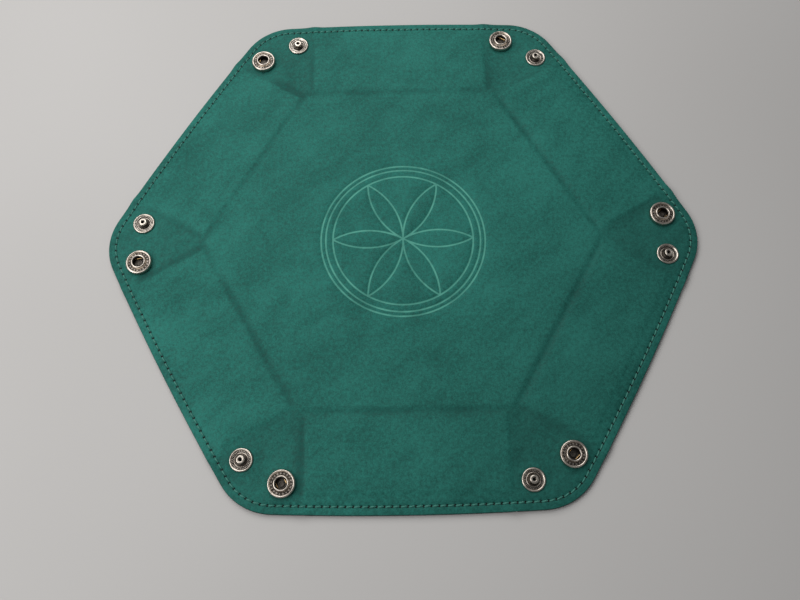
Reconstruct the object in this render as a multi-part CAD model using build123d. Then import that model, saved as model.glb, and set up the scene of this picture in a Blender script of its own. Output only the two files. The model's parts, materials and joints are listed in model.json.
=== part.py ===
from build123d import *
import math
import os

# A hexagonal dice tray that is stored flat. A leather lining and a leather cover are sewn together
# round their edge, with a stiff board between them under the floor and under each of the six walls.
# The bare leather between the boards is the hinge. At every corner a gusset folds in half as the
# walls stand up, and a snap fastener, with its socket on one half and its stud on the other, holds
# the fold shut. The tray lies flat on the XY plane with +Z up and its centre over the origin.
# Corner 1 points along +X, and wall 1 is the next wall anticlockwise from it. Sizes are in mm.

# ---- Outline and creases
SIDES = 6
side_reach = 125.2  # centre to the middle of a side
side_bow = 1.9  # how far the middle of a side stands out past its two ends
corner_radius = 27.0
floor_reach = 82.0  # centre to the crease along a side of the floor
hem = 7.5  # unboarded band along a side, which carries the stitching

# ---- Layers
skin = 0.9  # the lining, and the cover too
board = 1.5
floor_board_clip = 3.0  # cut off each corner of the floor board
wall_board_clip = 2.0  # and of a wall board
crease_margin = 2.0  # crease to the edge of a board beside it
board_wrap = 0.2  # how far the leather on a board's face runs past its edge before it slopes away
slope = 45.0  # degrees, the leather round a board

# ---- Snap fasteners: cap and socket on one half of a gusset, eyelet and stud on the other
snap_place = 0.61  # from 0, where a socket would touch the diagonal, to 1, where its cap would
# touch the side
cap_radius = 6.2
cap_rise = 0.9  # thickness of the cap under the leather
eyelet_radius = 4.8
eyelet_rise = 0.8
post_radius = 1.3  # the posts of the cap and the eyelet
hidden_sides = 8  # what is hidden inside a snap is drawn with this many flat sides

metal = 0.4  # the sheet that the socket and the stud are drawn from
socket_radius = 5.9
socket_band = 2.2  # height of the band round the lip
socket_height = 2.9  # height of the lip round the mouth
socket_lip = 3.2  # outer radius of the lip
socket_mouth = 2.55  # radius of the hole that takes the knob
spring_wire = 0.5
stud_radius = 5.1
knob_radius = 2.3
neck_radius = 2.0
knob_height = 2.6
knob_recess = 1.0  # the eyelet's post ends this far down inside the knob

# ---- Clearances
post_clearance = 0.05
crease_clearance = 1.7  # between a snap's cap and the crease beside the wall
spring_clearance = 0.15  # between the knob and each leg of the spring, pushed open
snap_clearance = 0.1  # between the lip of the closed socket and the stud
groove_spare = 1.5  # degrees that each bevel is cut past its fold
pinch_relief = 1.3  # the gussets start this far out from the creases of the floor
open_crease = 1.3  # slot between a stud's half gusset and the wall beside it

# ---- Worked out
corner_turn = 360 / SIDES
half_corner = corner_turn / 2
fold_angle = 90.0  # a wall, from flat to upright
gusset_angle = 90 - half_corner  # a half gusset, against its wall

leather = 2 * skin
seam = cap_rise + skin  # height of the joint between cover and lining, where the walls hinge
sheet_top = cap_rise + leather  # top of the leather where there is no board
board_top = skin + board
tray_top = board_top + skin  # top of the leather on a board

snap_gap = socket_height + snap_clearance + metal  # between the half gussets, snapped shut
diagonal_axis = sheet_top + snap_gap / 2  # height of the line that they fold about

side_chord = side_reach - side_bow
outer_tip = side_chord / math.cos(math.radians(half_corner))  # a corner before it is rounded
floor_tip = floor_reach / math.cos(math.radians(half_corner))
half_floor_side = floor_reach * math.tan(math.radians(half_corner))

# A wall ends short of the floor's corner, so that two upright walls leave the snap its room.
wall_setback = snap_gap / 2 / math.sin(math.radians(gusset_angle))
wall_setback += (sheet_top - seam) * math.tan(math.radians(half_corner))
half_wall = half_floor_side - wall_setback

socket_hollow = (socket_radius - metal) * math.cos(math.pi / hidden_sides)  # to its flat sides

# A snap stands beside the crease at the end of its wall. Along that crease, it can be anywhere from
# where the sockets' side would touch the corner's diagonal to where its cap would touch the side.
off_crease = cap_radius + crease_clearance
crease_length = side_chord - floor_reach + wall_setback / math.tan(math.radians(half_corner))
nearest = socket_radius + off_crease * math.cos(math.radians(half_corner))
nearest /= math.sin(math.radians(half_corner))
furthest = crease_length - cap_radius
along_crease = nearest + snap_place * (furthest - nearest)
snap_spread = along_crease * math.sin(math.radians(half_corner))  # a snap from the diagonal
snap_spread -= off_crease * math.cos(math.radians(half_corner))
snap_reach = floor_tip - wall_setback / math.sin(math.radians(half_corner))  # and along it
snap_reach += along_crease * math.cos(math.radians(half_corner))
snap_reach += off_crease * math.sin(math.radians(half_corner))
far = 2 * side_reach  # past everything


def polar(radius, degrees):
    """A point on the XY plane."""
    turn = math.radians(degrees)
    return Vector(radius * math.cos(turn), radius * math.sin(turn))


def polygon(*points):
    """A flat face from its corners."""
    return make_face(Polyline(*points, close=True))


def prism(face, bottom, top):
    """A face of the XY plane, standing from one height to another."""
    return extrude(Pos(0, 0, bottom) * face, top - bottom, dir=(0, 0, 1))


def outline():
    """The edge of the whole sheet: six faintly bowed sides with rounded corners."""
    sides = [
        ThreePointArc(
            polar(outer_tip, side * corner_turn),
            polar(side_reach, (side + 0.5) * corner_turn),
            polar(outer_tip, (side + 1) * corner_turn),
        )
        for side in range(SIDES)
    ]
    face = make_face(sides)
    return fillet(face.vertices(), corner_radius)


SHEET = outline()


def bevel(start, along, inward, apex, depth, degrees):
    """A wedge that is cut off the edge of a panel, to let the panel fold about the line through
    start. It runs along that line and widens into the panel from the apex height, upward if the
    depth is positive and downward if it is negative."""
    spread = abs(depth) * math.tan(math.radians(degrees + groove_spare))
    tip = start - along * far + Vector(0, 0, apex)
    foot = tip + Vector(0, 0, depth)
    return extrude(polygon(tip, foot, foot + inward * spread), 2 * far, dir=along)


# ---- Layers of a panel


def raised(face, near, away):
    """The bulge of the leather over one face of a board, from the plain sheet at the height near
    to the flat at the height away."""
    spread = abs(away - near) / math.tan(math.radians(slope))
    top = offset(face, board_wrap, kind=Kind.INTERSECTION)
    foot = offset(face, board_wrap + spread, kind=Kind.INTERSECTION)
    return loft([Pos(0, 0, near) * foot, Pos(0, 0, away) * top])


def lining_of(region, board_face):
    """The top leather over a region, drawn up over its board."""
    sheet = prism(region, seam, sheet_top)
    return sheet + raised(board_face, sheet_top, tray_top) - prism(board_face, seam, board_top)


def cover_of(region, board_face):
    """The bottom leather under a region, pushed down by its board."""
    sheet = prism(region, cap_rise, seam)
    return sheet + raised(board_face, cap_rise, 0) - prism(board_face, skin, seam)


# ---- Floor


def floor_board_face():
    face = RegularPolygon(floor_reach - crease_margin, SIDES, major_radius=False)
    return chamfer(face.vertices(), floor_board_clip)


def floor_groove(side):
    """The bevel along one side of the floor, which leaves the upright wall its room."""
    out = polar(1, (side + 0.5) * corner_turn)
    along = polar(1, (side + 0.5) * corner_turn + 90)
    return bevel(out * floor_reach, along, -out, seam, tray_top - seam, fold_angle / 2)


def floor_parts():
    region = RegularPolygon(floor_reach, SIDES, major_radius=False)
    face = floor_board_face()
    grooves = [floor_groove(side) for side in range(SIDES)]
    return {
        "floor_board": [prism(face, skin, board_top)],
        "floor_lining": [lining_of(region, face) - grooves],
        "floor_cover": [cover_of(region, face)],
    }


# ---- Walls, drawn with the outward direction along +Y


def wall_board_face():
    inner = floor_reach + crease_margin
    outer = side_chord - hem
    width = 2 * (half_wall - crease_margin)
    face = Pos(0, (inner + outer) / 2) * Rectangle(width, outer - inner)
    return chamfer(face.vertices(), wall_board_clip)


def wall_grooves():
    """The bevels along the wall's crease and under its two ends."""
    out = Vector(0, 1)
    crease = Vector(0, floor_reach)
    grooves = [bevel(crease, Vector(1, 0), out, seam, tray_top - seam, fold_angle / 2)]
    for end in (-1, 1):
        start = Vector(end * half_wall, 0)
        inward = Vector(-end, 0)
        grooves.append(bevel(start, out, inward, sheet_top, -sheet_top, gusset_angle / 2))
    return grooves


def wall_parts(number):
    strip = Pos(0, (floor_reach + far) / 2) * Rectangle(2 * half_wall, far - floor_reach)
    region = strip & SHEET
    face = wall_board_face()
    place = Rot(0, 0, (number - 0.5) * corner_turn - 90)
    return {
        f"wall_board_{number}": [place * prism(face, skin, board_top)],
        f"wall_lining_{number}": [place * (lining_of(region, face) - wall_grooves())],
        f"wall_cover_{number}": [place * (cover_of(region, face) - wall_grooves())],
    }


# ---- Half gussets, drawn at corner 1, on the side of wall 1


def half_gusset(slot):
    """The lining and the cover, bonded face to face between the corner's diagonal and the end of
    the wall. A slot is left beside the wall, and there is a hole for the snap's post."""
    out = polar(1, half_corner)
    past_end = polar(1, half_corner - 90)
    end = Vector(floor_tip, 0) - past_end * (wall_setback - slot)
    inner = end + out * pinch_relief
    pinch = Vector(floor_tip + pinch_relief / math.cos(math.radians(half_corner)), 0)
    region = polygon(inner, pinch, Vector(far, 0), inner + out * far) & SHEET
    groove = bevel(end, out, past_end, sheet_top, -sheet_top, gusset_angle / 2)
    hole = Pos(snap_reach, snap_spread) * post_hole(far)
    return prism(region, cap_rise, sheet_top) - groove - hole


# ---- Snap fasteners, each drawn on the Z axis with Z = 0 at the leather it sits on


def turned(*points):
    """A solid of revolution from the radius and height of each corner of its section."""
    section = polygon(*[Vector(radius, 0, height) for radius, height in points])
    return revolve(section, Axis.Z)


def flat_sided(radius, bottom, top):
    """A hidden post or hollow, with its flat sides at the radius."""
    face = RegularPolygon(radius, hidden_sides, major_radius=False)
    return prism(face, bottom, top)


def post_hole(height):
    return flat_sided(post_radius + post_clearance, 0, height)


def headed_post(radius, rise, top):
    """The head under the leather, with the post that goes up through it."""
    head = turned((0, -rise), (radius, -rise), (radius, 0), (0, 0))
    return head + flat_sided(post_radius, 0, top)


def cap():
    """What holds the socket: its post ends just above the socket's floor."""
    return headed_post(cap_radius, cap_rise, leather + 2 * metal)


def eyelet():
    """What holds the stud: its post is pressed up inside the knob."""
    return headed_post(eyelet_radius, eyelet_rise, leather + knob_height - knob_recess)


def socket_ring():
    """The hollow ring that takes the knob, with a lip round its mouth."""
    outside = turned(
        (0, 0),
        (socket_radius, 0),
        (socket_radius, socket_band),
        (socket_lip, socket_band),
        (socket_lip, socket_height),
        (socket_mouth, socket_height),
        (socket_mouth, metal),
        (0, metal),
    )
    return outside - flat_sided(socket_hollow, metal, socket_band - metal) - post_hole(metal)


def spring_leg(side):
    """One of the two legs of wire inside the socket, which lie either side of the knob."""
    off = knob_radius + spring_clearance + spring_wire / 2
    inside = socket_hollow - post_clearance
    length = 2 * math.sqrt(inside**2 - (off + spring_wire / 2) ** 2)
    face = Pos(side * off, 0) * Rectangle(spring_wire, length)
    return prism(face, metal, metal + spring_wire)


def stud():
    """The knob and its flange, with the bore for the eyelet's post."""
    outside = turned(
        (0, 0),
        (stud_radius, 0),
        (stud_radius, metal),
        (neck_radius, metal),
        (knob_radius, (metal + knob_height) / 2),
        (knob_radius, knob_height),
        (0, knob_height),
    )
    return outside - post_hole(knob_height)


def gusset_parts(number):
    """Both halves of a corner's gusset with their snap fasteners."""
    turn = Rot(0, 0, (number - 1) * corner_turn)
    socket_place = turn * Pos(snap_reach, snap_spread)
    stud_place = turn * Pos(snap_reach, -snap_spread)
    on_top = Pos(0, 0, sheet_top)
    under = Pos(0, 0, cap_rise)
    socket = [socket_ring(), spring_leg(-1), spring_leg(1)]
    stud_half = mirror(half_gusset(open_crease), Plane.XZ)
    return {
        f"socket_gusset_{number}": [turn * half_gusset(0)],
        f"snap_socket_{number}": [socket_place * on_top * piece for piece in socket],
        f"snap_cap_{number}": [socket_place * under * cap()],
        f"stud_gusset_{number}": [turn * stud_half],
        f"snap_stud_{number}": [stud_place * on_top * stud()],
        f"snap_eyelet_{number}": [stud_place * under * eyelet()],
    }


os.makedirs("parts", exist_ok=True)
parts = floor_parts()
for number in range(1, SIDES + 1):
    parts.update(wall_parts(number))
    parts.update(gusset_parts(number))
for name, pieces in parts.items():
    solids = [solid for piece in pieces for solid in piece.solids()]
    export_step(Compound(solids), f"parts/{name}.step")
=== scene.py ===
import json
import math

import bpy
import numpy as np
from mathutils import Matrix, Vector
from mathutils.geometry import delaunay_2d_cdt
from mathutils.kdtree import KDTree

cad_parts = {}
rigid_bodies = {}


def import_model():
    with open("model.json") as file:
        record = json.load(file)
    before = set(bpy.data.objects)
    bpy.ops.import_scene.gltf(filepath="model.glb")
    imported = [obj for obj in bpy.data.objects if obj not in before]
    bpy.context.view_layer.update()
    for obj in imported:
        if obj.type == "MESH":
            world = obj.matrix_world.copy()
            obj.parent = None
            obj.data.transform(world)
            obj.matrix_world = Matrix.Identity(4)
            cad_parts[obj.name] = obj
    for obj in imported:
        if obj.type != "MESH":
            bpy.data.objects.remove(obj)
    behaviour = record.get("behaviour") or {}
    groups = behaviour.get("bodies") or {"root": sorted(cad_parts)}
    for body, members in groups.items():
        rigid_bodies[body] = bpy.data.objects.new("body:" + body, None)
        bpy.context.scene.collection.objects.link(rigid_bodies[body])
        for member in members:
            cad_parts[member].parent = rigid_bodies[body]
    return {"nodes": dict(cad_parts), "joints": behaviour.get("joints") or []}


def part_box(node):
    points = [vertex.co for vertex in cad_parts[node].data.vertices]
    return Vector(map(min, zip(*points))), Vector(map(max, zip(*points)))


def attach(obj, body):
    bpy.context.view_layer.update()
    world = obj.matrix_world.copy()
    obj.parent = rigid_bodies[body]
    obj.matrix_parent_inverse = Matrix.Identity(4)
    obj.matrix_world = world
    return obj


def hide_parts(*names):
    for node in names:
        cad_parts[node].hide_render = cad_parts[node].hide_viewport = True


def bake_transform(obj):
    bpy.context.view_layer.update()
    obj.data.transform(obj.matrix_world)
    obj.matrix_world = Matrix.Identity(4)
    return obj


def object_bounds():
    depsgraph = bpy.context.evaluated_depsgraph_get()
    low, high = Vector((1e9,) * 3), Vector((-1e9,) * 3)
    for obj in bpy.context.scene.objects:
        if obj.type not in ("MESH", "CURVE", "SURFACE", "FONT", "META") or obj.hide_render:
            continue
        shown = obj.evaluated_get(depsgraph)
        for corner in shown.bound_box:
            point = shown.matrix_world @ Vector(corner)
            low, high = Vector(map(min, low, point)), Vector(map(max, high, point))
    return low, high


# The looks of a hexagonal folding dice tray, in metres. The leather is made of panels that share
# their edges: the floor, six walls, and two half gussets at each corner, each with a lining over a
# cover. One height field forms them all, so they meet without a step. Points of the plane are rows
# of numpy arrays. Corner 1 points along +X, and wall 1 is the next wall anticlockwise from it.

for thing in list(bpy.data.objects):
    bpy.data.objects.remove(thing)
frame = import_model()
cad_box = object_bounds()
joints = {joint["name"]: joint for joint in frame["joints"]}

MM = 0.001
SIDES = 6
TURN = 2 * math.pi / SIDES
HALF_TURN = TURN / 2

# ---- What the frame gives
CREASE = math.hypot(*joints["fold"]["pos_m"][:2])  # centre to a crease of the floor
SEAM = joints["fold"]["pos_m"][2]  # height of the joint between the lining and the cover
SHEET_TOP = joints["gusset_crease_1"]["pos_m"][2]
TRAY_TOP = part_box("floor_lining")[1].z
SKIN = SHEET_TOP - SEAM
SHEET_FOOT = SEAM - SKIN
FLOOR_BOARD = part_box("floor_board")[1].y
WALL_BOARD = (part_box("wall_board_2")[0].y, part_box("wall_board_2")[1].y)  # wall 2 faces +Y
WALL_BOARD_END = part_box("wall_board_2")[1].x
SIDE_REACH = cad_box[1].y
FLOOR_TIP = CREASE / math.cos(HALF_TURN)
arm = Vector(joints["gusset_crease_1"]["pos_m"][:2])
HALF_WALL = arm.x * math.sin(HALF_TURN) - arm.y * math.cos(HALF_TURN)

# ---- The outline, whose curves the frame doesn't name
BOW = 1.9 * MM  # how far the middle of a side stands out past its two ends
CORNER = 27.0 * MM
HALF_CHORD = (SIDE_REACH - BOW) * math.tan(HALF_TURN)
SIDE_RADIUS = (HALF_CHORD**2 + BOW**2) / (2 * BOW)
SIDE_CENTRE = (SIDE_REACH - SIDE_RADIUS) * np.array([math.cos(HALF_TURN), math.sin(HALF_TURN)])
CORNER_CENTRE = SIDE_CENTRE[0] + math.sqrt((SIDE_RADIUS - CORNER) ** 2 - SIDE_CENTRE[1] ** 2)
SWEEP = math.atan2(-SIDE_CENTRE[1], CORNER_CENTRE - SIDE_CENTRE[0])  # half the arc of a corner

# ---- Stitching, seen along a line that is inset from the edge
INSET = 3.6 * MM
STITCHES = 42  # from the middle of a side to the middle of the next, with a hole on each fold
CORNER_RUN = (CORNER - INSET) * SWEEP
SECTOR_RUN = CORNER_RUN + (SIDE_RADIUS - INSET) * (HALF_TURN - SWEEP)
PITCH = 2 * SECTOR_RUN / STITCHES
STITCH_SHARE = 0.50  # how much of the pitch a thread spans above the leather
THREAD = 0.30 * MM  # radius
HOLE = 0.72 * MM

# ---- How far a panel bends beside its crease, and the form of its edges
FLOOR_BEND = 2.6 * MM
ARM_BEND = 2.2 * MM
FOLD_BEND = 3.0 * MM
PINCH = 1.3 * MM  # the gussets start this far out from the creases of the floor
ARCH = 3.2 * MM  # the hem rises this far each side of where an arm crosses it
BEVEL = math.tan(math.radians(34))  # the slope of the two edges where the ring of panels is open
DROOP = 0.6 * MM  # how far the edge of the sheet hangs below its middle
EDGE_CUT = 0.15 * MM  # how far the lining's edge leans in over its thickness

# ---- The rosette pressed into the floor, the way the lining is brushed, and its painted shade
PETAL = 33.0 * MM  # radius
RINGS = (PETAL, 36.4 * MM, 38.6 * MM)
LINE = 0.8 * MM
SHADED_SIDE = math.radians(-35)  # the side of the tray that is painted darker, as shade
NAP = math.radians(42)  # the way in which the lining is brushed

# ---- The points that the panels are triangulated from
EDGE_STEP = 0.6 * MM  # along a straight edge of a panel
ROW_STEP = 1.5 * MM  # along the rows that follow a crease or a board
ROW_GAP = 0.3 * MM  # how near a row may come to the points laid before it
LATTICE = 2.4 * MM
LATTICE_RISE = LATTICE * 0.866
LATTICE_GAP = 1.3 * MM
PAST_ALL = 0.14  # out past the sheet's furthest point


def turned(points, angle):
    """Points of the plane, turned about the centre."""
    c, s = math.cos(angle), math.sin(angle)
    return np.asarray(points, float) @ np.array([[c, s], [-s, c]])


def smooth(low, high, values):
    """A soft step from 0 at low to 1 at high."""
    share = np.clip((values - low) / (high - low), 0, 1)
    return share * share * (3 - 2 * share)


def bump(values, width):
    """1 where the values are 0, fading to 0 by about twice the width."""
    return np.exp(-((values / width) ** 2))


def ripple(points, length, seed):
    """A gentle random swell of about that wavelength, mostly between -1 and 1."""
    rng = np.random.default_rng(seed)
    total = np.zeros(len(points))
    waves = 7
    for _ in range(waves):
        way, phase = rng.uniform(0, 2 * math.pi, 2)
        stretch = rng.uniform(0.6, 1.6)
        along = points @ np.array([math.cos(way), math.sin(way)])
        total += np.sin(2 * math.pi * stretch * along / length + phase)
    return total / math.sqrt(2 * waves)


def circle(count):
    """Even points round a unit circle."""
    angles = np.arange(count) * 2 * math.pi / count
    return np.stack([np.cos(angles), np.sin(angles)], -1)


def areas(points, triangles):
    """The signed area of each triangle."""
    corners = points[triangles]
    ab, ac = corners[:, 1] - corners[:, 0], corners[:, 2] - corners[:, 0]
    return (ab[:, 0] * ac[:, 1] - ab[:, 1] * ac[:, 0]) / 2


PETAL_CENTRES = [turned([[PETAL, 0]], petal * TURN)[0] for petal in range(SIDES)]


# ---- Places on the tray


def by_corner(points):
    """Points in the frame of their nearest corner, with that corner on +X."""
    angle = np.round(np.arctan2(points[:, 1], points[:, 0]) / TURN) * TURN
    c, s = np.cos(angle), np.sin(angle)
    x = points[:, 0] * c + points[:, 1] * s
    y = points[:, 1] * c - points[:, 0] * s
    return x, y


def by_side(points):
    """Each point's distance out towards its nearest side, and along that side."""
    x, y = by_corner(points)
    side = np.where(y >= 0, HALF_TURN, -HALF_TURN)
    return x * np.cos(side) + y * np.sin(side), y * np.cos(side) - x * np.sin(side)


def edge_point(run, inset):
    """The point at a run along the stitching from the middle of corner 1, at an inset."""
    run, inset = np.broadcast_arrays(np.asarray(run, float), inset)
    length = np.abs(run)
    rounded = length <= CORNER_RUN
    swing = SWEEP + (length - CORNER_RUN) / (SIDE_RADIUS - INSET)
    angle = np.where(rounded, length / (CORNER - INSET), swing)
    radius = np.where(rounded, CORNER, SIDE_RADIUS) - inset
    x = np.where(rounded, CORNER_CENTRE, SIDE_CENTRE[0]) + radius * np.cos(angle)
    y = np.where(rounded, 0, SIDE_CENTRE[1]) + radius * np.sin(angle)
    return np.stack([x, y * np.where(run < 0, -1, 1)], -1)


def edge_place(points):
    """The reverse of edge_point, for the nearest corner of each point: its inset and its run."""
    x, y = by_corner(points)
    rounded = np.arctan2(np.abs(y), x - CORNER_CENTRE) < SWEEP
    away = x - np.where(rounded, CORNER_CENTRE, SIDE_CENTRE[0])
    across = np.abs(y) - np.where(rounded, 0, SIDE_CENTRE[1])
    radius = np.where(rounded, CORNER, SIDE_RADIUS)
    swing = np.arctan2(across, away) - np.where(rounded, 0, SWEEP)
    run = np.where(rounded, 0, CORNER_RUN) + swing * (radius - INSET)
    return radius - np.hypot(away, across), run * np.where(y < 0, -1, 1)


SNAP_PLACES = {
    kind: [
        np.array(sum(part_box(f"snap_{kind}_{number}"), Vector())[:2]) / 2
        for number in range(1, SIDES + 1)
    ]
    for kind in ("socket", "stud")
}
SNAP_RADIUS = {
    kind: (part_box(f"snap_{kind}_1")[1].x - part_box(f"snap_{kind}_1")[0].x) / 2
    for kind in ("socket", "stud", "cap", "eyelet")
}


def rosette_distance(points):
    """The distance of each point from the nearest line of the rosette."""
    radius = np.hypot(points[:, 0], points[:, 1])
    nearest = np.min([np.abs(radius - ring) for ring in RINGS], 0)
    for centre in PETAL_CENTRES:
        arc = np.abs(np.hypot(*(points - centre).T) - PETAL)
        nearest = np.where(radius < PETAL, np.minimum(nearest, arc), nearest)
    return nearest


# ---- The height field


def raised(points):
    """From 1 over a board to 0 where the sheet has none under it."""
    out, along = by_side(points)
    from_floor = out - FLOOR_BOARD
    past_ends = np.abs(along) - WALL_BOARD_END
    from_wall = np.maximum(past_ends, np.maximum(out - WALL_BOARD[1], WALL_BOARD[0] - out))
    away = np.minimum(from_floor, from_wall)
    gap = WALL_BOARD[0] - CREASE  # from the middle of a hinge to the board on either side
    return 1 - 0.6 * smooth(-0.8 * MM, gap, away) - 0.4 * smooth(gap, 2.5 * gap, away)


def crease_lines(points):
    """How near each point is to a crease, from 0 to 1."""
    out, along = by_side(points)
    x, y = by_corner(points)
    past_floor = smooth(-2 * MM, 1 * MM, out - CREASE)
    floor_line = bump(out - CREASE, 1.3 * MM)
    arm_line = bump(np.abs(along) - HALF_WALL, 1.1 * MM) * past_floor
    diagonal = bump(y, 1.0 * MM) * smooth(0, 4 * MM, x - FLOOR_TIP)
    return np.maximum(floor_line, np.maximum(arm_line, 0.6 * diagonal))


def valley(points):
    """Painted shade, from 0 to 1: soft dark bands over the hinges, darker gussets, and one side of
    the tray darker.
    """
    out, along = by_side(points)
    inset, _ = edge_place(points)
    past_floor = smooth(-3 * MM, 3 * MM, out - CREASE)
    floor_band = bump(out - CREASE, 2.3 * MM)
    arm_band = bump(np.abs(along) - HALF_WALL - 0.3 * MM, 1.9 * MM) * past_floor
    arm_band = arm_band * np.where(along < 0, 1.5, 0.75)
    band = np.maximum(0.75 * floor_band, arm_band) * smooth(3 * MM, 12 * MM, inset)
    band = band * (0.62 + 0.42 * ripple(points, 34 * MM, 23)).clip(0, 1)
    gusset = 0.42 * smooth(-1 * MM, 4 * MM, np.abs(along) - HALF_WALL) * past_floor
    side_shade = 0.5 * smooth(10 * MM, 115 * MM, points @ [math.cos(SHADED_SIDE), math.sin(SHADED_SIDE)])
    return 1 - (1 - gusset) * (1 - band) * (1 - side_shade)


def stitch_marks(points):
    """The pull of the stitches between their holes, and the holes, each from 0 to 1."""
    inset, run = edge_place(points)
    phase = (run + SECTOR_RUN) / PITCH
    from_hole = np.abs(phase - np.round(phase)) * PITCH
    pull = bump(inset - INSET, 0.75 * MM)
    hole = bump(np.hypot(from_hole, inset - INSET), HOLE)
    return pull, hole


def sag(points):
    """The slack of the sheet where no board holds it flat, and the droop of its edge."""
    inset, _ = edge_place(points)
    _, along = by_side(points)
    edge = 1 - smooth(2 * MM, 14 * MM, inset)
    swell = 0.10 * ripple(points, 38 * MM, 3) + 0.13 * edge * ripple(points, 24 * MM, 5)
    hanging = (1 - inset / (INSET + 2 * MM)).clip(0, 1) ** 1.3
    at_arm = bump(np.abs(along) - HALF_WALL, ARCH)
    slack = (swell * MM) * (1 - raised(points)) * (1 - hanging) * (1 - at_arm)
    return slack - DROOP * hanging * (1 - 1.15 * at_arm)


def snap_swell(points, flanges):
    """The leather that the flanges of the snaps squeeze up round themselves."""
    total = np.zeros(len(points))
    for flange, places in zip(flanges, SNAP_PLACES.values()):
        for place in places:
            away = np.hypot(*(points - place).T)
            total += bump(away - SNAP_RADIUS[flange] - 0.9 * MM, 0.9 * MM)
    return total


def lining_heights(points):
    """The top and the foot of the lining."""
    up = raised(points)
    base = SHEET_TOP + (TRAY_TOP - SHEET_TOP) * up + sag(points)
    inset, _ = edge_place(points)
    pull, hole = stitch_marks(points)
    swell = snap_swell(points, ("socket", "stud"))
    worn = 0.03 * ripple(points, 31 * MM, 11)
    pressed = 1 - smooth(0.3 * MM, 0.6 * MM, rosette_distance(points))
    form = 0.16 * swell + worn - 0.05 * crease_lines(points) - 0.20 * pressed
    form -= 0.14 * pull + 0.40 * hole + 0.30 * (1 - smooth(0, 0.5 * MM, inset))
    return base + form * MM, base - SKIN


def cover_heights(points):
    """The top and the foot of the cover."""
    up = raised(points)
    base = SHEET_FOOT * (1 - up) + sag(points)
    inset, _ = edge_place(points)
    pull, hole = stitch_marks(points)
    swell = snap_swell(points, ("cap", "eyelet"))
    form = 0.14 * pull + 0.35 * hole + 0.25 * (1 - smooth(0, 0.5 * MM, inset)) - 0.14 * swell
    form += 0.12 * crease_lines(points)
    return base + SKIN, base + form * MM * (1 - up)


# ---- Panels: flat triangulations first


def half_plane(angle, out=None, along=None, sign=1):
    """A half plane, by the direction of a side and a limit on the distance out or along it."""
    c, s = math.cos(angle), math.sin(angle)
    normal = np.array([c, s]) if along is None else np.array([-s, c])
    return sign * normal, sign * (out if along is None else along)


def clipped(polygon, planes):
    """A convex polygon, cut to the side of each line where its normal points."""
    for normal, offset in planes:
        kept = []
        for here, there in zip(polygon, np.roll(polygon, -1, 0)):
            a, b = here @ normal - offset, there @ normal - offset
            if a >= 0:
                kept.append(here)
            if a * b < 0:
                kept.append(here + (there - here) * a / (a - b))
        polygon = np.array(kept)
    return polygon


def stations(a, b):
    """Points from a up to b, at places along their line that don't depend on where it starts."""
    way = (b - a) / np.linalg.norm(b - a)
    if tuple(np.round(way, 6)) < tuple(np.round(-way, 6)):
        way = -way
    start, stop = a @ way, b @ way
    low, high = sorted((start, stop))
    marks = np.arange(math.ceil(low / EDGE_STEP), high / EDGE_STEP) * EDGE_STEP
    close = 0.25 * EDGE_STEP
    marks = marks[(marks > low + close) & (marks < high - close)]
    if stop < start:
        marks = marks[::-1]
    return np.vstack([a[None], a + (marks - start)[:, None] * way])


def bordered(polygon):
    """The polygon with stations along each edge that is longer than a few steps."""
    loops = []
    for here, there in zip(polygon, np.roll(polygon, -1, 0)):
        length = np.linalg.norm(there - here)
        loops.append(stations(here, there) if length > 1.9 * MM else here[None])
    loop = np.vstack(loops)
    apart = np.linalg.norm(loop - np.roll(loop, 1, 0), axis=1)
    return loop[apart > 1e-7]


def inside(points, polygon):
    """Whether each point lies in a polygon."""
    count = np.zeros(len(points), int)
    for a, b in zip(polygon, np.roll(polygon, -1, 0)):
        spans = (a[1] > points[:, 1]) != (b[1] > points[:, 1])
        rise = b[1] - a[1] if b[1] != a[1] else 1.0
        crossing = a[0] + (points[:, 1] - a[1]) * (b[0] - a[0]) / rise
        count += spans & (points[:, 0] < crossing)
    return count % 2 == 1


def clear_of(points, taken, gap):
    """Whether each point keeps its gap from those that are taken."""
    tree = KDTree(len(taken))
    for number, (x, y) in enumerate(taken):
        tree.insert((x, y, 0), number)
    tree.balance()
    return np.array([tree.find((x, y, 0))[2] > gap for x, y in points], bool)


def triangulated(border, features):
    """Points and triangles inside a border. Each feature is an array of points with the gap that
    it keeps from what came before it."""
    taken = border
    for points, gap in features:
        points = points[inside(points, border)]
        if len(points):
            taken = np.vstack([taken, points[clear_of(points, taken, gap)]])
    count = len(border)
    edges = [(n, (n + 1) % count) for n in range(count)]
    found = delaunay_2d_cdt([Vector(p) for p in taken / MM], edges, [], 0, 1e-5)
    points = np.array([tuple(p) for p in found[0]]) * MM
    triangles = np.array([face for face in found[2] if len(face) == 3])
    sound = np.abs(areas(points, triangles)) > 1e-10
    return points, triangles[inside(points[triangles].mean(1), border) & sound]


def rows(angle, outs, alongs):
    """A grid of points beside a side: every distance out with every distance along."""
    out, along = np.meshgrid(outs, alongs, indexing="ij")
    return turned(np.stack([out.ravel(), along.ravel()], -1), angle)


def steps(low, high, step):
    """Even steps from low to high, of about that length."""
    return np.linspace(low, high, max(2, round((high - low) / step) + 1))


def edge_rows(angle):
    """The rows of points along the edge of the sheet, over the sector of a corner."""
    stitched = INSET + np.array([-0.9, -0.5, -0.2, 0.2, 0.5, 0.9]) * MM
    plain = np.array([0.15, 0.4, 0.8, 1.5, 2.2, 5.4, 6.5, 7.6]) * MM
    found = []
    for insets, per_stitch in ((stitched, 8), (plain, 2)):
        runs = np.linspace(-SECTOR_RUN, SECTOR_RUN, STITCHES * per_stitch + 1)
        found += [edge_point(runs, inset) for inset in insets]
    return turned(np.vstack(found), angle)


def ring(centre, radii, count):
    """Circles of points round a centre, by their radii in millimetres."""
    return np.vstack([centre + radius * MM * circle(count) for radius in radii])


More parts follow.
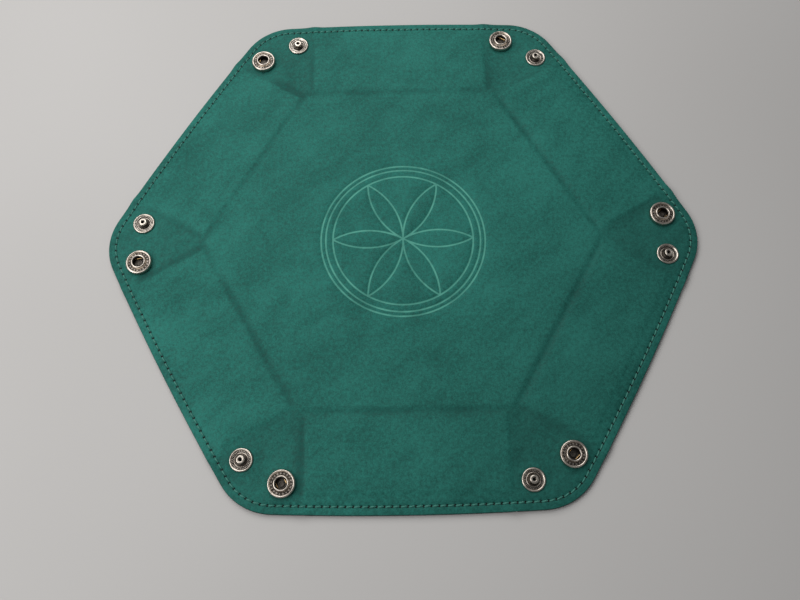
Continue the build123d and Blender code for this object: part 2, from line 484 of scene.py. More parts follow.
def lattice():
    """A triangular lattice over the whole sheet."""
    reach = 0.15
    x, y = np.meshgrid(np.arange(-reach, reach, LATTICE), np.arange(-reach, reach, LATTICE_RISE))
    shift = (np.round(y / LATTICE_RISE) % 2) * LATTICE / 2
    return np.stack([(x + shift).ravel(), y.ravel()], -1)


def rosette_points():
    """Rows of points that follow the lines of the rosette."""
    half = 0.7 * MM
    offsets = np.linspace(-half, half, 5)
    step = 0.9 * MM
    found = []
    for radius in RINGS:
        count = round(2 * math.pi * radius / step)
        found += [ring(np.zeros(2), [(radius + offset) / MM], count) for offset in offsets]
    count = round(2 * math.pi * PETAL / step)
    for centre in PETAL_CENTRES:
        for offset in offsets:
            arc = ring(centre, [(PETAL + offset) / MM], count)
            found.append(arc[np.hypot(*arc.T) < PETAL - half])
    return found


SECTOR = edge_point(np.linspace(-SECTOR_RUN, SECTOR_RUN, 2 * STITCHES + 1)[:-1], 0)
OUTLINE = np.vstack([turned(SECTOR, k * TURN) for k in range(SIDES)])
CREASE_ROWS = np.array([-2.0, -1.5, -1.1, -0.7, -0.35, 0, 0.35, 0.7, 1.1, 1.5, 2.0, 2.6])
CREASE_ROWS = CREASE + CREASE_ROWS * MM
ARM_ROWS = np.array([-1.7, -1.2, -0.8, -0.4, 0, 0.4, 0.8, 1.2, 1.7]) * MM
FOLD_ROWS = np.array([-2.6, -1.9, -1.3, -0.8, -0.4, 0, 0.4, 0.8, 1.3, 1.9, 2.6]) * MM
BOARD_ROWS = np.array([-0.6, -0.1, 0.4, 0.9, 1.4, 2.0]) * MM


def feature_points():
    """All the rows round corner 1 and wall 1 with their gaps, in the order of laying them."""
    near = steps(CREASE - 2 * MM, CREASE + 4 * MM, 0.7 * MM)
    outs = np.concatenate([near, steps(CREASE + 5 * MM, PAST_ALL, ROW_STEP)])
    along = steps(-HALF_WALL - 2 * MM, HALF_WALL + 2 * MM, 1.6 * MM)
    ends = WALL_BOARD_END + BOARD_ROWS
    found = [(edge_rows(angle), 0.1 * MM) for angle in (0, TURN)]
    found.append((rows(HALF_TURN, CREASE_ROWS, along), 0.28 * MM))
    lines = (
        rows(HALF_TURN, outs, HALF_WALL + ARM_ROWS),
        rows(HALF_TURN, outs, -HALF_WALL + ARM_ROWS),
        rows(-HALF_TURN, outs, HALF_WALL + ARM_ROWS),
        rows(0, steps(FLOOR_TIP, PAST_ALL, ROW_STEP), FOLD_ROWS),
        rows(HALF_TURN, WALL_BOARD[1] + BOARD_ROWS, along),
        rows(HALF_TURN, outs, ends),
        rows(HALF_TURN, outs, -ends),
    )
    found += [(points, ROW_GAP) for points in lines]
    for places in SNAP_PLACES.values():
        found.append((ring(places[0], [4.4, 5.2, 6.0, 6.6, 7.3, 8.2], 40), 0.35 * MM))
    found.append((lattice(), LATTICE_GAP))
    return found


def away_from(features, planes):
    """Feature points that stay a little clear of the straight edges of their panel."""
    kept = []
    for points, gap in features:
        for normal, offset in planes:
            points = points[points @ normal - offset > ROW_GAP]
        kept.append((points, gap))
    return kept


WALL_PLANES = [
    half_plane(HALF_TURN, out=CREASE - FLOOR_BEND),
    half_plane(HALF_TURN, along=-HALF_WALL + ARM_BEND),
    half_plane(HALF_TURN, along=HALF_WALL, sign=-1),
]
SOCKET_PLANES = [
    half_plane(HALF_TURN, out=CREASE + PINCH),
    half_plane(HALF_TURN, along=-HALF_WALL + ARM_BEND, sign=-1),
    half_plane(0, along=FOLD_BEND),
]
STUD_PLANES = [
    half_plane(-HALF_TURN, along=HALF_WALL),
    half_plane(0, along=FOLD_BEND, sign=-1),
]
TONGUE_TIP = np.array([(CREASE + PINCH) / math.cos(HALF_TURN), 0])


def stud_border():
    """A stud's half gusset, whose inner end goes round the tip of the floor's tongue."""
    reach = CREASE + PINCH
    start = rows(-HALF_TURN, [reach], [HALF_WALL])[0]
    stop = np.array([(reach - FOLD_BEND * math.sin(HALF_TURN)) / math.cos(HALF_TURN), FOLD_BEND])
    way = (stop - start) / np.linalg.norm(stop - start)
    normal = np.array([way[1], -way[0]])
    polygon = clipped(OUTLINE, [*STUD_PLANES, (normal, start @ normal)])
    first = np.argmin(np.linalg.norm(polygon - start, axis=1))
    return np.insert(polygon, first, TONGUE_TIP, 0)


def floor_border():
    """The floor with its six corners, each a tongue between two walls."""
    foot, tip = CREASE - FLOOR_BEND, CREASE + PINCH
    corner = [
        *rows(-HALF_TURN, [foot, tip], [HALF_WALL]),
        TONGUE_TIP,
        *rows(HALF_TURN, [tip, foot], [-HALF_WALL + ARM_BEND]),
    ]
    return bordered(np.vstack([turned(corner, k * TURN) for k in range(SIDES)]))


def floor_features():
    """The rows of the floor with their gaps: the rosette, and the ends of each crease."""
    found = [(points, 0.33 * MM) for points in rosette_points()]
    outs = CREASE + np.array([-3.6, -2.6, -2.1, -1.6, -1.1, -0.6, -0.1, 0.5]) * MM
    for side in range(SIDES):
        for end in (-1, 1):
            alongs = end * steps(HALF_WALL - 1 * MM, HALF_WALL + 4 * MM, 0.7 * MM)
            found.append((rows((side + 0.5) * TURN, outs, alongs), 0.35 * MM))
    found.append((lattice(), LATTICE_GAP))
    return found


def flat_panels():
    """The flat triangulation of each kind of panel, at corner 1 and wall 1."""
    features = feature_points()
    borders = {
        "wall": (clipped(OUTLINE, WALL_PLANES), WALL_PLANES),
        "socket": (clipped(OUTLINE, SOCKET_PLANES), SOCKET_PLANES),
        "stud": (stud_border(), STUD_PLANES),
    }
    made = {
        kind: triangulated(bordered(border), away_from(features, planes))
        for kind, (border, planes) in borders.items()
    }
    made["floor"] = triangulated(floor_border(), floor_features())
    return made


# ---- Materials


class Material:
    """A material whose nodes are added one by one round its Principled shader."""

    def __init__(self, name, **settings):
        self.data = bpy.data.materials.new(name)
        self.data.use_nodes = True
        self.tree = self.data.node_tree
        self.shader = self.tree.nodes["Principled BSDF"]
        for socket, value in settings.items():
            self.shader.inputs[socket.replace("_", " ")].default_value = value

    def node(self, kind, inputs, output=0, **settings):
        """Adds a node, sets or links its inputs, and gives one of its outputs."""
        node = self.tree.nodes.new("ShaderNode" + kind)
        for name, value in settings.items():
            setattr(node, name, value)
        for socket, value in inputs.items():
            if isinstance(value, bpy.types.NodeSocket):
                self.tree.links.new(value, node.inputs[socket])
            else:
                node.inputs[socket].default_value = value
        return node.outputs[output]

    def coordinates(self):
        return self.node("TexCoord", {}, "Object")

    def attribute(self, name, vector=False):
        return self.node("Attribute", {}, "Vector" if vector else "Fac", attribute_name=name)

    def math(self, operation, a, b=0.0):
        return self.node("Math", {0: a, 1: b}, operation=operation)

    def vector(self, operation, a, b=(0, 0, 0), output="Vector"):
        return self.node("VectorMath", {0: a, 1: b}, output, operation=operation)

    def ramp(self, value, low, high, start=0.0, stop=1.0):
        """A soft step of a value, from start at low to stop at high."""
        inputs = {"From Min": low, "From Max": high, "To Min": start, "To Max": stop}
        return self.node("MapRange", {"Value": value, **inputs}, interpolation_type="SMOOTHSTEP")

    def mix(self, factor, a, b):
        """Colour a where the factor is 0, and colour b where it is 1."""
        return self.node("Mix", {"Factor": factor, 6: a, 7: b}, 2, data_type="RGBA")

    def stretched(self, vector, scale, angle):
        """A texture's coordinates, stretched by scale along an axis that is turned by angle."""
        inputs = {"Vector": vector, "Rotation": (0, 0, angle), "Scale": scale}
        return self.node("Mapping", inputs, vector_type="TEXTURE")

    def noise(self, vector, scale, detail=3.0, roughness=0.55):
        inputs = {"Vector": vector, "Scale": scale, "Detail": detail, "Roughness": roughness}
        return self.node("TexNoise", inputs, "Fac")

    def cells(self, vector, scale):
        return self.node("TexVoronoi", {"Vector": vector, "Scale": scale}, "Distance")

    def relief(self, height, distance, strength, under=None):
        """A bump from a height, over another bump if there is one."""
        inputs = {"Height": height, "Distance": distance, "Strength": strength}
        return self.node("Bump", inputs if under is None else {**inputs, "Normal": under})

    def two_toned(self, texture, shares, tones, rough, bump):
        """Finishes the material by one texture, whose shares part its two tones."""
        color = self.mix(self.ramp(texture, *shares), *tones)
        rough = self.ramp(texture, 0.3, 0.7, *rough)
        return self.finish(color, rough, self.relief(texture, *bump))

    def finish(self, color, roughness=None, normal=None):
        for socket, source in (("Base Color", color), ("Roughness", roughness), ("Normal", normal)):
            if source is not None:
                self.tree.links.new(source, self.shader.inputs[socket])
        return self.data


def tone(red, green, blue):
    """A colour from its screen values, 0 to 255."""
    shares = [value / 255 for value in (red, green, blue)]
    linear = [((v + 0.055) / 1.055) ** 2.4 if v > 0.0404 else v / 12.92 for v in shares]
    return (*linear, 1)


# The deepest green is painted shade over the hinges, the gussets and one side of the tray.
GREEN_SHADE = tone(4, 50, 45)
GREEN_DARK = tone(14, 78, 69)
GREEN_PALE = tone(43, 122, 110)
GREEN_LINE = tone(84, 160, 142)
GREEN_SHEEN = tone(150, 205, 190)
# The hole tone is painted shade inside the stitch holes.
GREEN_HOLE_SHADE = tone(5, 14, 13)
THREAD_LOW, THREAD_HIGH = tone(36, 104, 92), tone(56, 134, 118)
BLACK, BLACK_WORN, BLACK_CREASED = tone(24, 25, 25), tone(38, 39, 39), tone(50, 50, 49)
# The hole tone is painted shade inside the cover's stitch holes.
BLACK_HOLE_SHADE = tone(5, 5, 5)
PAINT_DARK, PAINT_WORN = tone(11, 13, 13), tone(34, 38, 37)
BOARD_DARK, BOARD_PALE = tone(120, 108, 92), tone(160, 148, 130)
TABLE_DARK, TABLE_PALE = tone(186, 183, 180), tone(193, 190, 187)
STUDIO = tone(232, 236, 240)


def rosette_mask(m, place):
    """1 on the lines of the rosette, from the distance to its rings and to its petals' arcs."""
    flat = m.vector("MULTIPLY", place, (1, 1, 0))

    def away(centre, radius):
        distance = m.vector("DISTANCE", flat, (*centre, 0), "Value")
        return m.math("ABSOLUTE", m.math("SUBTRACT", distance, radius))

    def nearest_of(distances):
        nearest = distances[0]
        for distance in distances[1:]:
            nearest = m.math("MINIMUM", nearest, distance)
        return nearest

    rings = nearest_of([away((0, 0), radius) for radius in RINGS])
    petals = nearest_of([away(centre, PETAL) for centre in PETAL_CENTRES])
    middle = m.vector("LENGTH", flat, output="Value")
    beyond = m.math("GREATER_THAN", middle, PETAL)  # there the petals don't count
    nearest = nearest_of([rings, m.math("ADD", petals, beyond)])
    return m.ramp(nearest, LINE * 0.35, LINE * 0.65, 1, 0)


def suede():
    """The lining: brushed synthetic leather, cloudy along the way it is brushed."""
    settings = {"Sheen_Weight": 0.05, "Sheen_Roughness": 0.5, "Specular_IOR_Level": 0.2}
    m = Material("lining_suede", Sheen_Tint=GREEN_SHEEN, **settings)
    place = m.attribute("rest", vector=True)
    clouds = m.noise(m.stretched(place, (2.2, 1, 1), NAP), 42, 3, 0.55)
    smudges = m.noise(m.stretched(place, (1.9, 1, 1), NAP), 150, 3, 0.6)
    mottle = m.noise(place, 620, 3, 0.6)
    fibre = m.noise(m.stretched(place, (1.8, 1, 1), NAP), 2400, 2, 0.6)
    total = m.math("MULTIPLY", clouds, 0.19)
    for part, share in ((smudges, 0.17), (mottle, 0.32), (fibre, 0.32)):
        total = m.math("ADD", total, m.math("MULTIPLY", part, share))
    color = m.mix(m.ramp(total, 0.34, 0.66), GREEN_DARK, GREEN_PALE)
    # Painted shade: darker over the hinges, on the gussets and towards one side of the tray.
    shaded = m.ramp(m.attribute("valley"), 0, 1, 0, 0.52)
    color = m.mix(shaded, color, GREEN_SHADE)
    mask = rosette_mask(m, place)
    pressed = m.math("MULTIPLY", mask, m.ramp(smudges, 0.3, 0.7, 0.45, 0.95))
    color = m.mix(pressed, color, GREEN_LINE)
    # The stitch holes are painted near black, as shade.
    hole = m.ramp(m.attribute("hole"), 0.3, 0.65)
    color = m.mix(hole, color, GREEN_HOLE_SHADE)
    rough = m.ramp(mottle, 0.3, 0.7, 0.62, 0.80)
    rough = m.math("SUBTRACT", rough, m.math("MULTIPLY", mask, 0.15))
    grain = m.relief(fibre, 0.00010, 0.6)
    return m.finish(color, rough, m.relief(mottle, 0.0003, 0.35, grain))


def grained_black():
    """The cover: smooth black synthetic leather with a fine pebble grain."""
    m = Material("cover_leather", Specular_IOR_Level=0.45)
    place = m.attribute("rest", vector=True)
    pebble = m.cells(place, 900)
    fine = m.noise(place, 1700, 3)
    broad = m.noise(place, 35, 4)
    color = m.mix(m.ramp(broad, 0.3, 0.7), BLACK, BLACK_WORN)
    crease = m.ramp(m.attribute("crease"), 0.2, 1, 0, 0.5)
    color = m.mix(crease, color, BLACK_CREASED)
    # The stitch holes are painted near black, as shade.
    hole = m.ramp(m.attribute("hole"), 0.25, 0.75)
    color = m.mix(hole, color, BLACK_HOLE_SHADE)
    rough = m.ramp(fine, 0.3, 0.7, 0.42, 0.58)
    normal = m.relief(fine, 0.00006, 0.5, m.relief(pebble, 0.00022, 0.55))
    return m.finish(color, rough, normal)


def painted_edge():
    """The dark paint on the cut edge of the sheets."""
    m = Material("edge_paint", Specular_IOR_Level=0.5)
    wear = m.noise(m.attribute("rest", vector=True), 500, 4)
    tones = PAINT_DARK, PAINT_WORN
    return m.two_toned(wear, (0.45, 0.8), tones, (0.45, 0.7), (0.0002, 0.4))


def sewing_thread():
    """Twisted polyester thread, a little paler than the lining."""
    m = Material("sewing_thread", Sheen_Weight=0.3, Specular_IOR_Level=0.4)
    twist = m.noise(m.attribute("rest", vector=True), 2600, 2)
    tones = THREAD_LOW, THREAD_HIGH
    return m.two_toned(twist, (0.35, 0.6), tones, (0.5, 0.7), (0.0001, 0.6))


def plated(name, bright, dim, rough):
    """A plated metal with faint scratches and a little tarnish."""
    m = Material(name, Metallic=1.0)
    place = m.coordinates()
    tarnish = m.noise(place, 420, 4, 0.6)
    scratch = m.noise(m.stretched(place, (9, 1, 1), 0.6), 1500, 3, 0.7)
    color = m.mix(m.ramp(tarnish, 0.35, 0.75), tone(*bright), tone(*dim))
    level = m.ramp(scratch, 0.3, 0.75, rough, rough + 0.16)
    return m.finish(color, level, m.relief(scratch, 0.00003, 0.4))


def chipboard():
    """The grey board between the sheets."""
    m = Material("grey_board")
    fibre = m.noise(m.stretched(m.coordinates(), (3, 1, 1), 0.4), 900, 5, 0.7)
    tones = BOARD_DARK, BOARD_PALE
    return m.two_toned(fibre, (0.3, 0.7), tones, (0.75, 0.95), (0.0002, 0.5))


SUEDE = suede()
LEATHER = grained_black()
EDGE = painted_edge()
THREAD_CLOTH = sewing_thread()
# The second and third platings are darker copies of the first: painted half shade on the lower
# band, and painted shade in the cavities, holes and grooves.
NICKEL = plated("nickel_plate", (206, 196, 184), (160, 150, 139), 0.24)
NICKEL_HALF_SHADE = plated("nickel_worn", (158, 149, 139), (104, 97, 89), 0.38)
NICKEL_SHADE = plated("nickel_recess", (84, 79, 73), (48, 45, 42), 0.36)
STEEL = plated("spring_steel", (218, 182, 128), (150, 122, 84), 0.24)
BOARD = chipboard()


# ---- Panels as closed shells


def linked(name, data):
    """A new object in the scene."""
    thing = bpy.data.objects.new(name, data)
    bpy.context.scene.collection.objects.link(thing)
    return thing


def mesh_object(name, points, faces, materials, which=None, angle=40):
    """A new object, smooth up to an angle. Which gives the material of each face."""
    mesh = bpy.data.meshes.new(name)
    mesh.from_pydata([tuple(p) for p in points], [], [tuple(f) for f in faces])
    for material in materials:
        mesh.materials.append(material)
    if which is not None:
        mesh.polygons.foreach_set("material_index", np.asarray(which, np.int32))
    mesh.shade_smooth()
    mesh.set_sharp_from_angle(angle=math.radians(angle))
    mesh.validate()
    return linked(name, mesh)


def keep(thing, name, values, kind="FLOAT"):
    """Stores a number, or a point, at each vertex."""
    layer = thing.data.attributes.new(name, kind, "POINT")
    field = "vector" if kind == "FLOAT_VECTOR" else "value"
    layer.data.foreach_set(field, np.asarray(values, np.float32).ravel())


def rim_edges(triangles):
    """The directed edges that only one triangle uses."""
    directed = np.concatenate([triangles[:, [0, 1]], triangles[:, [1, 2]], triangles[:, [2, 0]]])
    used = {tuple(edge) for edge in directed}
    return np.array([edge for edge in directed if (edge[1], edge[0]) not in used])


def bevelled(points, height, sides):
    """Points drawn back from the open edge of a panel, the further the lower they lie."""
    points = points.copy()
    for normal, offset in sides:
        back = (SHEET_TOP - height).clip(0) * BEVEL
        away = points @ normal - offset
        points += (back * (1 - away / (3 * back + 1e-9)).clip(0))[:, None] * normal
    return points


def leaned_in(points):
    """Points of the lining's face, drawn in from its cut edge."""
    reach = 2.6 * EDGE_CUT
    inset, run = edge_place(points)
    drawn = edge_point(run, inset + EDGE_CUT * (1 - inset / reach).clip(0))
    angle = np.round(np.arctan2(points[:, 1], points[:, 0]) / TURN) * TURN
    c, s = np.cos(angle), np.sin(angle)
    moved = np.stack([drawn[:, 0] * c - drawn[:, 1] * s, drawn[:, 0] * s + drawn[:, 1] * c], -1)
    return np.where((inset < reach)[:, None], moved, points)


def shell(name, panel, angle, heights, finish, open_sides):
    """One leather sheet of a panel, closed all round, with its attributes at rest. Its open sides
    slope away from its neighbour's, but the faces of the lining meet there."""
    flat, triangles = panel
    flat = turned(flat, angle)
    top, foot = heights(flat)
    sides = [(turned([normal], angle)[0], offset) for normal, offset in open_sides]
    face = leaned_in(flat) if heights is lining_heights else bevelled(flat, top, sides)
    top_points = np.column_stack([face, top])
    foot_points = np.column_stack([bevelled(flat, foot, sides), foot])
    count = len(flat)
    points = np.vstack([top_points, foot_points])
    rim = rim_edges(triangles)
    inset, _ = edge_place(flat)
    outer = (inset[rim] < 0.05 * MM).all(1)
    walls = np.column_stack([rim[:, 1], rim[:, 0], rim[:, 0] + count, rim[:, 1] + count])
    faces = [*triangles, *(triangles[:, ::-1] + count), *walls]
    which = np.concatenate([np.repeat([0, 2], len(triangles)), np.where(outer, 1, 2)])
    thing = mesh_object(name, points, faces, [finish, EDGE, LEATHER], which)
    keep(thing, "rest", points, "FLOAT_VECTOR")
    # The hole mark and the last mark darken the colour as painted shade.
    marks = {"hole": stitch_marks(flat)[1], "crease": crease_lines(flat), "valley": valley(flat)}
    for mark, values in marks.items():
        keep(thing, mark, np.tile(values, 2))
    return thing


def at(angle, out, along):
    """A point of the seam, by its place beside a side."""
    return (*rows(angle, [out], [along])[0], SEAM)


def bend(kind, number):
    """The two bodies that a panel joins, and where it starts and stops bending between them."""
    turn = (number - 1) * TURN
    side = turn + HALF_TURN
    wall, socket, stud = f"wall_{number}", f"socket_half_{number}", f"stud_half_{number}"
    before, beyond = -HALF_WALL + ARM_BEND, -HALF_WALL - ARM_BEND
    if kind == "wall":
        return "floor", wall, at(side, CREASE - FLOOR_BEND, 0), at(side, CREASE + FLOOR_BEND, 0)
    if kind == "socket":
        return wall, socket, at(side, CREASE, before), at(side, CREASE, beyond)
    return socket, stud, at(turn, CREASE, FOLD_BEND), at(turn, CREASE, -FOLD_BEND)


def build_leather(panels):
    """Every panel of leather, lining and cover, with the floor's on the floor body."""
    layers = (("lining", lining_heights, SUEDE), ("cover", cover_heights, LEATHER))
    kinds = (
        ("wall", "wall_board", HALF_TURN, WALL_PLANES[2:]),
        ("socket", "cap", HALF_TURN, []),
        ("stud", "eyelet", 0, STUD_PLANES[:1]),
    )
    for layer, heights, finish in layers:
        nodes = {"wall": f"wall_{layer}", "socket": "socket_gusset", "stud": "stud_gusset"}
        floor = shell(f"{layer}_floor", panels["floor"], 0, heights, finish, [])
        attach(floor, "floor")
        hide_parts(f"floor_{layer}")
        for number in range(1, SIDES + 1):
            for kind, support, angle, open_sides in kinds:
                first, second, start, stop = bend(kind, number)
                name, turn = f"{layer}_{second}", (number - 1) * TURN
                thing = shell(name, panels[kind], turn, heights, finish, open_sides)
                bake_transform(thing)
                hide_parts(f"{nodes[kind]}_{number}")


def tube(points, sections):
    """The points and faces of a closed tube, from rings of that many points."""
    last = len(points) - sections
    faces = []
    for k in range(last):
        n = k + 1 if (k + 1) % sections else k + 1 - sections
        faces.append((k, n, n + sections, k + sections))
    ends = [tuple(range(sections))[::-1], tuple(range(last, len(points)))]
    return np.array(points), faces + ends


def joined(parts):
    """The points and faces of several parts as one."""
    points, faces = [], []
    for more, corners in parts:
        faces += [tuple(len(points) + corner for corner in face) for face in corners]
        points += list(more)
    return np.array(points), faces


def build_tucks():
    """The leather that is pinched under each corner of the floor, as a low lens."""
    sections = 24
    centre = np.array([FLOOR_TIP + 0.4 * MM, -0.9 * MM])
    oval = circle(sections) * [4.0 * MM, 3.9 * MM]
    for number in range(1, SIDES + 1):
        points = []
        for share, height in ((0.55, 0.04), (0.85, 0.08), (1.0, 0.25), (0.85, 0.42), (0.55, 0.48)):
            flat = turned(centre + oval * share, (number - 1) * TURN)
            points.append(np.column_stack([flat, np.full(len(flat), height * MM)]))
        points, faces = tube(np.vstack(points), sections)
        thing = mesh_object(f"corner_tuck_{number}", points, faces, [LEATHER], angle=60)
        keep(thing, "rest", points, "FLOAT_VECTOR")
        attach(thing, "floor")


# ---- Stitching


def stitch(start, stop, leather, side):
    """A tube of thread from one hole to the next. Side is 1 above the leather and -1 below it."""
    way = (stop - start) / np.linalg.norm(stop - start)
    across = np.array([-way[1], way[0]])
    share = np.linspace(0, 1, 9)
    arch = np.sin(math.pi * share) ** 0.45
    along = 0.5 + (share - 0.5) * STITCH_SHARE
    skew = (share - 0.5) * 0.25 * MM * side
    line = start + np.outer(along, stop - start) + np.outer(skew, across)
    level = leather + side * (arch * 0.72 - 0.62) * MM
    sections = 8
    points = []
    for here, z, rise in zip(line, level, np.gradient(level, PITCH * STITCH_SHARE / 8)):
        for off, lift in circle(sections) * THREAD:
            points.append((*(here + across * off - way * rise * lift), z + lift * 0.8))
    return tube(points, sections)


def panel_of(point):
    """The kind of panel that a point of corner 1's sector lies on."""
    along = by_side(point[None])[1][0]
    if point[1] > 0:
        if along > -HALF_WALL + ARM_BEND:
            return "wall"
        return "socket" if point[1] > FOLD_BEND else "stud"
    return "wall" if along < HALF_WALL else "stud"


def build_stitching():
    """The thread of each panel as one piece, with none below where a stitch crosses a groove."""
    groups = {"wall": [], "socket": [], "stud": []}
    for number in range(STITCHES):
        runs = np.array([number, number + 1]) * PITCH - SECTOR_RUN
        ends = edge_point(runs, INSET)
        kind = panel_of(ends.mean(0))
        _, along = by_side(ends)
        crosses = ends[1, 1] < 0 and along.min() < HALF_WALL < along.max()
        if kind == "wall" and ends.mean(0)[1] < 0:
            ends = turned(ends, TURN)
        groups[kind].append((ends, [1] if crosses else [1, -1]))
    for kind, stitches in groups.items():
        for number in range(1, SIDES + 1):
            turn = (number - 1) * TURN
            parts = []
            for ends, sides in stitches:
                start, stop = turned(ends, turn)
                slack = sag((start + stop)[None] / 2)[0]
                for side in sides:
                    height = slack + (SHEET_TOP if side > 0 else SHEET_FOOT)
                    parts.append(stitch(start, stop, height, side))
            points, faces = joined(parts)
            name = f"stitches_{kind}_{number}"
            thing = mesh_object(name, points, faces, [THREAD_CLOTH], angle=60)
            keep(thing, "rest", points, "FLOAT_VECTOR")
            first, second, start, stop = bend(kind, number)
            if kind == "wall":
                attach(thing, second)
            else:
                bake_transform(thing)


# ---- Snap fasteners, turned about Z from profiles in millimetres. Z = 0 is the flat sheet's face.


def arc(x, z, radius, start, stop, count=8):
    """Points round an arc of a profile, by its centre, radius and two angles in degrees."""
    angles = np.radians(np.linspace(start, stop, count))
    return [(x + radius * math.cos(a), z + radius * math.sin(a)) for a in angles]


def lathe(profile, sections=72):
    """Points and faces of a closed profile turned about Z, where it touches the axis or not."""
    points, faces, rings = [], [], []
    for radius, height in np.array(profile) * MM:
        count = sections if radius > 1e-7 else 1
        rings.append([len(points) + k % count for k in range(sections)])
        points += [(radius * x, radius * y, height) for x, y in circle(count)]
    for a, b in zip(rings, rings[1:] + rings[:1]):
        for k in range(sections):
            n = (k + 1) % sections
            corners = tuple(dict.fromkeys([a[k], a[n], b[n], b[k]]))
            if len(corners) > 2:
                faces.append(corners)
    return points, faces


def ticks(radius, height, count, size):
    """Small raised bars in a ring, each longer than it is wide."""
    length, wide, rise = (v * MM for v in size)
    bars = []
    for number, way in enumerate(circle(count)):
        width = wide * (0.6 + 0.4 * (number * 7 % 5) / 4)
        across = np.array([-way[1], way[0]])
        points = []
        for z, share in ((-0.1 * MM, 1.0), (rise, 0.75)):
            for a, b in ((-1, -1), (1, -1), (1, 1), (-1, 1)):
                spot = way * (radius * MM + a * length / 2 * share) + across * b * width / 2 * share
                points.append((*spot, height * MM + z))
        bars.append(tube(points, 4))
    return bars


SOCKET = [
    (1.45, 0.0), (5.1, 0.0), *arc(5.2, 0.7, 0.7, -90, 0), *arc(5.35, 1.75, 0.55, 0, 150),
    (4.78, 1.72), (4.6, 1.55), (3.85, 1.55), (3.6, 1.75), (3.4, 2.35),
    *arc(2.95, 2.5, 0.4, 15, 150), (2.3, 2.35), (2.25, 2.0), (2.7, 1.7), (5.0, 1.35),
    (5.3, 1.0), (5.3, 0.5), (1.45, 0.4),
]
STUD = [
    (0.95, 0.0), (4.5, 0.0), *arc(4.6, 0.5, 0.5, -90, 150), (4.0, 0.62), (3.8, 0.42), (3.3, 0.26),
    *arc(2.98, 0.24, 0.22, 10, 170, 6), (2.65, 0.2), (1.9, 0.2), (1.6, 0.5), (1.55, 1.2),
    (1.84, 1.7), *arc(1.4, 2.1, 0.48, 0, 90), *arc(0.98, 2.42, 0.16, 90, 180, 4),
    (0.82, 2.1), (0.95, 1.7),
]
CAP = [
    (0, -0.86), (2.5, -0.9), (4.6, -0.82), (5.5, -0.62), (6.0, -0.34),
    *arc(6.05, -0.08, 0.14, -60, 90, 5), (1.3, 0.04), (1.3, 2.2), (1.35, 2.4),
    *arc(1.25, 2.5, 0.12, 0, 90, 4), (1.0, 2.62), (0.9, 2.4), (0, 2.3),
]
EYELET = [
    (0.6, -0.45), (0.75, -0.68), (1.0, -0.78), (2.6, -0.8), (4.0, -0.7),
    *arc(4.45, -0.32, 0.35, -60, 90, 6), (0.9, 0.0), (0.9, 3.3),
    *arc(0.75, 3.3, 0.15, 0, 180, 6), (0.6, 1.0),
]
# The ring of marks on a face: its radius, height and count, and each mark's length, width and rise
SOCKET_MARKS = (4.22, 1.55, 19, (1.0, 1.05, 0.18))
STUD_MARKS = (3.8, 0.36, 34, (0.85, 0.42, 0.3))


def turned_mesh(name, profile, dim, marks=None):
    """The pattern of one kind of snap piece. The function passed in gives the plating of a face,
    by its radius and height: 0 bright, 1 painted half shade, 2 painted shade."""
    points, faces = joined([lathe(profile), *(ticks(*marks) if marks else [])])
    spare = mesh_object(name, points, faces, [NICKEL, NICKEL_HALF_SHADE, NICKEL_SHADE], angle=35)
    for face in spare.data.polygons:
        middle = face.center
        face.material_index = int(dim(math.hypot(middle.x, middle.y) / MM, middle.z / MM))
    return spare


def spring_mesh():
    """Two legs of wire, one each side of the knob, with their ends bent in."""
    wire, off, half, height, sections = 0.28, 2.06, 3.6, 0.95, 8
    line = [(off, -half), (off, 0), (off, half)]
    line = [(off - 0.5, -half - 0.5), *line, (off - 0.5, half + 0.5)]
    legs = []
    for side in (-1, 1):
        leg = [(side * x + b, y, height + a) for x, y in line for a, b in circle(sections) * wire]
        legs.append(tube(np.array(leg) * MM, sections))
    points, faces = joined(legs)
    return mesh_object("spring", points, faces, [STEEL], angle=60)


def socket_recess(radius, height):
    """Painted shade on the socket: in its cavity, and over the band between its two rims."""
    if radius < 2.5 or (height < 1.4 and radius < 5.25):
        return 2
    if 3.6 < radius < 4.75 and height < 1.6:
        return 2
    return int(radius < 4.75 and height < 1.74)


def stud_recess(radius, height):
    """Painted shade on the stud: in its hole, on its waist, and in the groove of its rim."""
    waist = radius < 2.7 and height < 0.6
    return 2 * (radius < 0.9 or waist or (3.2 < radius < 4.1 and height < 0.56))


def build_snaps():
    """A socket with its spring and cap, and a stud with its eyelet, at each corner."""
    kinds = {
        "socket": turned_mesh("socket_kind", SOCKET, socket_recess, SOCKET_MARKS),
        "stud": turned_mesh("stud_kind", STUD, stud_recess, STUD_MARKS),
        # The cap's post and the eyelet's hole are painted in shade.
        "cap": turned_mesh("cap_kind", CAP, lambda r, z: 2 * (z > 0.1)),
        "eyelet": turned_mesh("eyelet_kind", EYELET, lambda r, z: 2 * (r < 0.7)),
        "spring": spring_mesh(),
    }
    for kind, pattern in kinds.items():
        half = "stud" if kind in ("stud", "eyelet") else "socket"
        height = SHEET_FOOT if kind in ("cap", "eyelet") else SHEET_TOP
        for number in range(1, SIDES + 1):
            thing = linked(f"{kind}_{number}", pattern.data)
            thing.location = (*SNAP_PLACES[half][number - 1], height)
            thing.rotation_euler = (0, 0, number * 1.9 + 0.4)
            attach(thing, f"{half}_half_{number}")
            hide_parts(f"snap_{'socket' if kind == 'spring' else kind}_{number}")
        bpy.data.objects.remove(pattern)


# ---- The stage


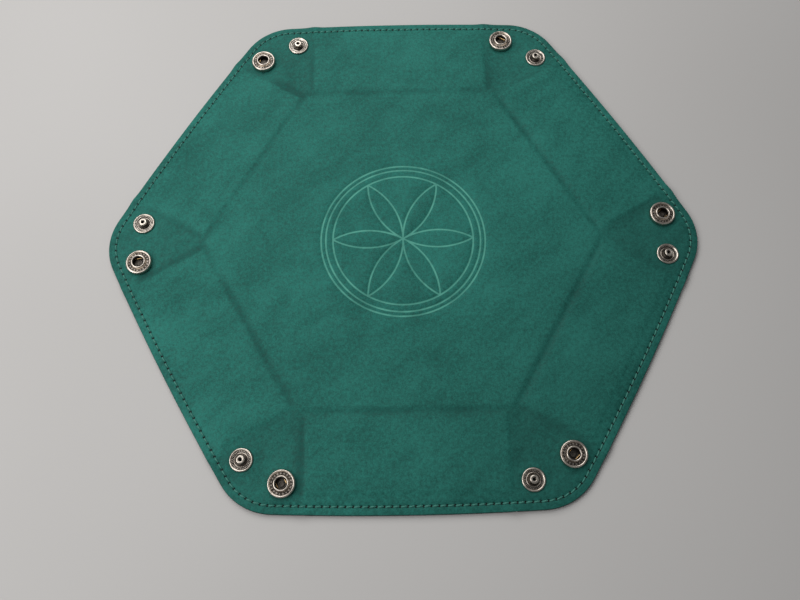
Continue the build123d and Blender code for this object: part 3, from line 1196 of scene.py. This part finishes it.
LAMPS = (  # name, place, size and power
    ("key", (-0.46, -0.14, 0.5), 0.4, 2.1),
    ("fill", (-0.13, 0.34, 0.5), 0.5, 2.4),
)
VIEW = (0.26, 70.08, -1.254)  # the camera's azimuth, elevation and roll, in degrees
AIM = (-1.9 * MM, -29.6 * MM, 0)
DISTANCE = 334.4  # millimetres
LENS = 32.64


def build_stage():
    """A plain pale table, soft studio lamps, and the camera."""
    m = Material("table", Roughness=0.55, Specular_IOR_Level=0.3)
    shade = m.ramp(m.noise(m.coordinates(), 2.5, 2), 0.3, 0.7)
    table = m.finish(m.mix(shade, TABLE_DARK, TABLE_PALE))
    corners = [(x * 3.0, y * 3.0, 0) for x, y in ((-1, -1), (1, -1), (1, 1), (-1, 1))]
    mesh_object("table_top", corners, [(0, 1, 2, 3)], [table])

    world = bpy.data.worlds.new("studio")
    bpy.context.scene.world = world
    world.use_nodes = True
    background = world.node_tree.nodes["Background"]
    background.inputs["Color"].default_value = STUDIO
    background.inputs["Strength"].default_value = 0.24

    for name, place, size, power in LAMPS:
        lamp = bpy.data.lights.new(name, "AREA")
        lamp.shape = "SQUARE"
        lamp.size = size
        lamp.energy = power
        thing = linked(name, lamp)
        thing.location = place
        thing.rotation_euler = (-Vector(place)).to_track_quat("-Z", "Y").to_euler()

    lens = bpy.data.cameras.new("camera")
    lens.lens = LENS
    lens.clip_start = 0.01
    camera = linked("camera", lens)
    azimuth, elevation, roll = (math.radians(v) for v in VIEW)
    level = math.cos(elevation)
    back = Vector((math.sin(azimuth) * level, -math.cos(azimuth) * level, math.sin(elevation)))
    camera.location = Vector(AIM) + back * DISTANCE * MM
    right = (-back).cross(Vector((0, 0, 1))).normalized()
    up = right.cross(-back)
    across = right * math.cos(roll) + up * math.sin(roll)
    upright = up * math.cos(roll) - right * math.sin(roll)
    camera.rotation_euler = Matrix((across, upright, back)).transposed().to_euler()
    bpy.context.scene.camera = camera
    bpy.context.scene.view_settings.view_transform = "Standard"


build_leather(flat_panels())
build_tucks()
build_stitching()
build_snaps()
for node, thing in frame["nodes"].items():
    if "board" in node:
        thing.data.materials.clear()
        thing.data.materials.append(BOARD)
build_stage()
